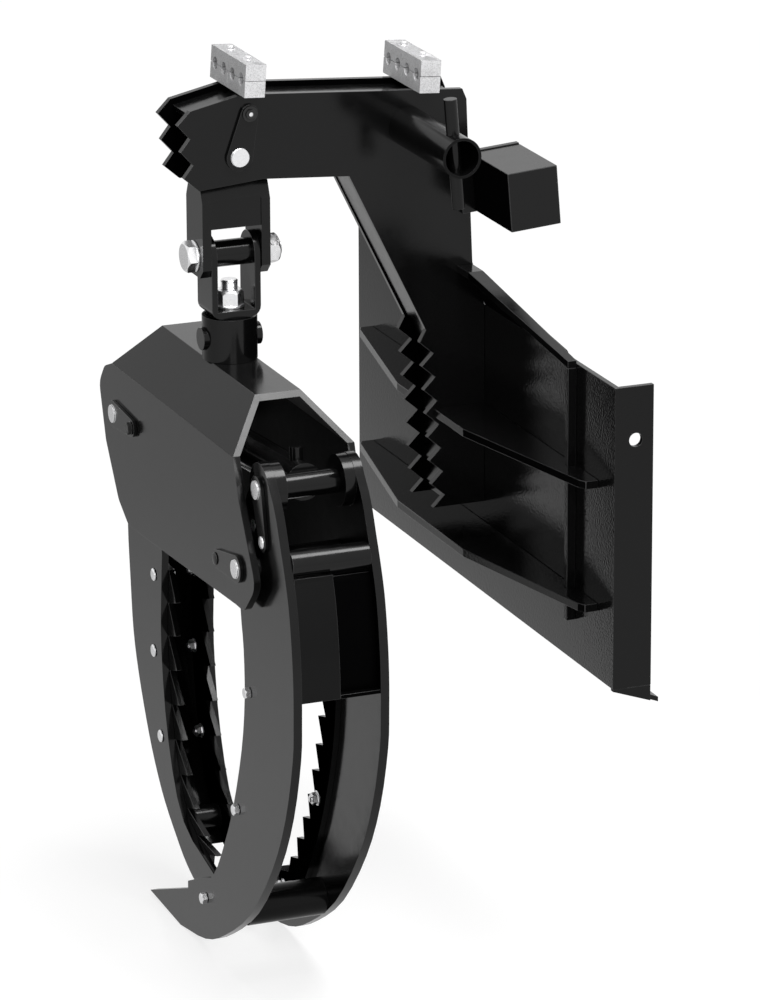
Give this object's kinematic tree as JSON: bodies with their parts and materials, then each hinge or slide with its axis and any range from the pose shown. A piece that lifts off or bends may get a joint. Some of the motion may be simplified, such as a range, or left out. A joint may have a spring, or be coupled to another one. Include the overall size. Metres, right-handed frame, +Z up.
{
  "type": "log grapple",
  "caption": "Log grapple with two toothed tongs, a cylinder and a swivel, hung from a toothed boom on a plate for a loader's quick coupler.",
  "frame": {"origin": "on the mounting plate's back face, in the boom's middle plane, half way up the plate", "axes": "+Z up, +X forward from the plate to the boom's tip, +Y to the side with the tube and the square box"},
  "size_m": [0.6616, 1.143, 1.595],
  "materials": {
    "black_paint": "gloss",
    "zinc_plate": "satin",
    "bare_steel": "satin",
    "clamp_alloy": "matt"
  },
  "bodies": {
    "plate_frame": {"mounting_plate": "black_paint", "middle_rib_near": "black_paint", "middle_rib_far": "black_paint", "lower_rib": "black_paint", "stiffener_bar": "black_paint", "top_gusset_near": "black_paint", "top_gusset_far": "black_paint", "boom_side_near": "black_paint", "boom_side_far": "black_paint", "top_strap": "black_paint", "inner_strap": "black_paint", "back_strap": "black_paint", "rear_clamp_lower": "clamp_alloy", "rear_clamp_upper": "clamp_alloy", "front_clamp_lower": "clamp_alloy", "front_clamp_upper": "clamp_alloy", "side_tube": "black_paint", "tube_cross_rod": "bare_steel", "box_bracket": "black_paint", "side_box": "black_paint", "tip_pin": "bare_steel", "tip_keeper_bolt": "zinc_plate"},
    "upper_link": {"upper_link": "black_paint", "cross_bolt": "zinc_plate", "cross_bolt_nut": "zinc_plate"},
    "swivel_yoke": {"swivel_yoke": "black_paint", "bolt_sleeve": "black_paint"},
    "grapple_head": {"swivel_collar": "black_paint", "collar_cross_pin": "bare_steel", "swivel_stud": "bare_steel", "swivel_nut": "zinc_plate", "hood": "black_paint", "head_plate_front": "black_paint", "head_plate_rear": "black_paint", "left_pivot_pin": "bare_steel", "right_pivot_pin": "bare_steel", "left_keeper_bolt": "zinc_plate", "right_keeper_bolt": "zinc_plate"},
    "left_tong": {"left_tong_plate_front": "black_paint", "left_tong_plate_rear": "black_paint", "left_teeth_front": "black_paint", "left_teeth_rear": "black_paint", "left_web": "black_paint", "left_cross_tube": "black_paint", "left_bar_pin": "zinc_plate"},
    "right_tong": {"right_tong_plate_front": "black_paint", "right_tong_plate_rear": "black_paint", "right_teeth_front": "black_paint", "right_teeth_rear": "black_paint", "right_pivot_tube": "black_paint", "lower_cross_tube": "black_paint", "right_web": "black_paint", "base_pin": "bare_steel", "base_keeper_bolt": "zinc_plate", "upper_cross_tube": "black_paint", "right_bar_pin": "zinc_plate"},
    "cylinder_barrel": {"cylinder_barrel": "black_paint", "cylinder_gland": "bare_steel"},
    "cylinder_rod": {"cylinder_rod": "bare_steel"},
    "link_bar": {"link_bar": "black_paint"}
  },
  "joints": [
    {"name": "tip_hinge", "type": "hinge", "parent": "plate_frame", "child": "upper_link", "pos_m": [0.462, 0, 0.5729], "axis": [0, 1, 0], "range_deg": [-60, 5]},
    {"name": "cross_hinge", "type": "hinge", "parent": "upper_link", "child": "swivel_yoke", "pos_m": [0.462, 0, 0.392], "axis": [1, 0, 0], "range_deg": [-40, 40]},
    {"name": "swivel", "type": "hinge", "parent": "swivel_yoke", "child": "grapple_head", "pos_m": [0.462, 0, 0.284], "axis": [0, 0, 1], "range_deg": [-20, 20]},
    {"name": "right_tong_hinge", "type": "hinge", "parent": "grapple_head", "child": "right_tong", "pos_m": [0.462, 0.323, -0.065], "axis": [1, 0, 0], "range_deg": [0, 36]},
    {"name": "left_tong_hinge", "type": "hinge", "parent": "grapple_head", "child": "left_tong", "pos_m": [0.462, -0.286, 0.037], "axis": [-1, 0, 0], "range_deg": [0, 36]},
    {"name": "rod_tilt", "type": "hinge", "parent": "grapple_head", "child": "cylinder_rod", "pos_m": [0.462, -0.286, 0.037], "axis": [1, 0, 0], "range_deg": [0, 0.72]},
    {"name": "barrel_slide", "type": "slide", "parent": "cylinder_rod", "child": "cylinder_barrel", "axis": [0, 0.9975, 0.0707], "range_m": [-0.09472, 0]},
    {"name": "link_bar_pivot", "type": "hinge", "parent": "right_tong", "child": "link_bar", "pos_m": [0.5205, 0.331, 0.011], "axis": [1, 0, 0], "range_deg": [-36.81, 0]}
  ],
  "couplings": [
    {"joint": "left_tong_hinge", "follows": "right_tong_hinge", "ratio": 1},
    {"joint": "rod_tilt", "follows": "right_tong_hinge", "ratio": 0.02},
    {"joint": "barrel_slide", "follows": "right_tong_hinge", "m_per_rad": -0.15075},
    {"joint": "link_bar_pivot", "follows": "right_tong_hinge", "ratio": -1.0225}
  ]
}
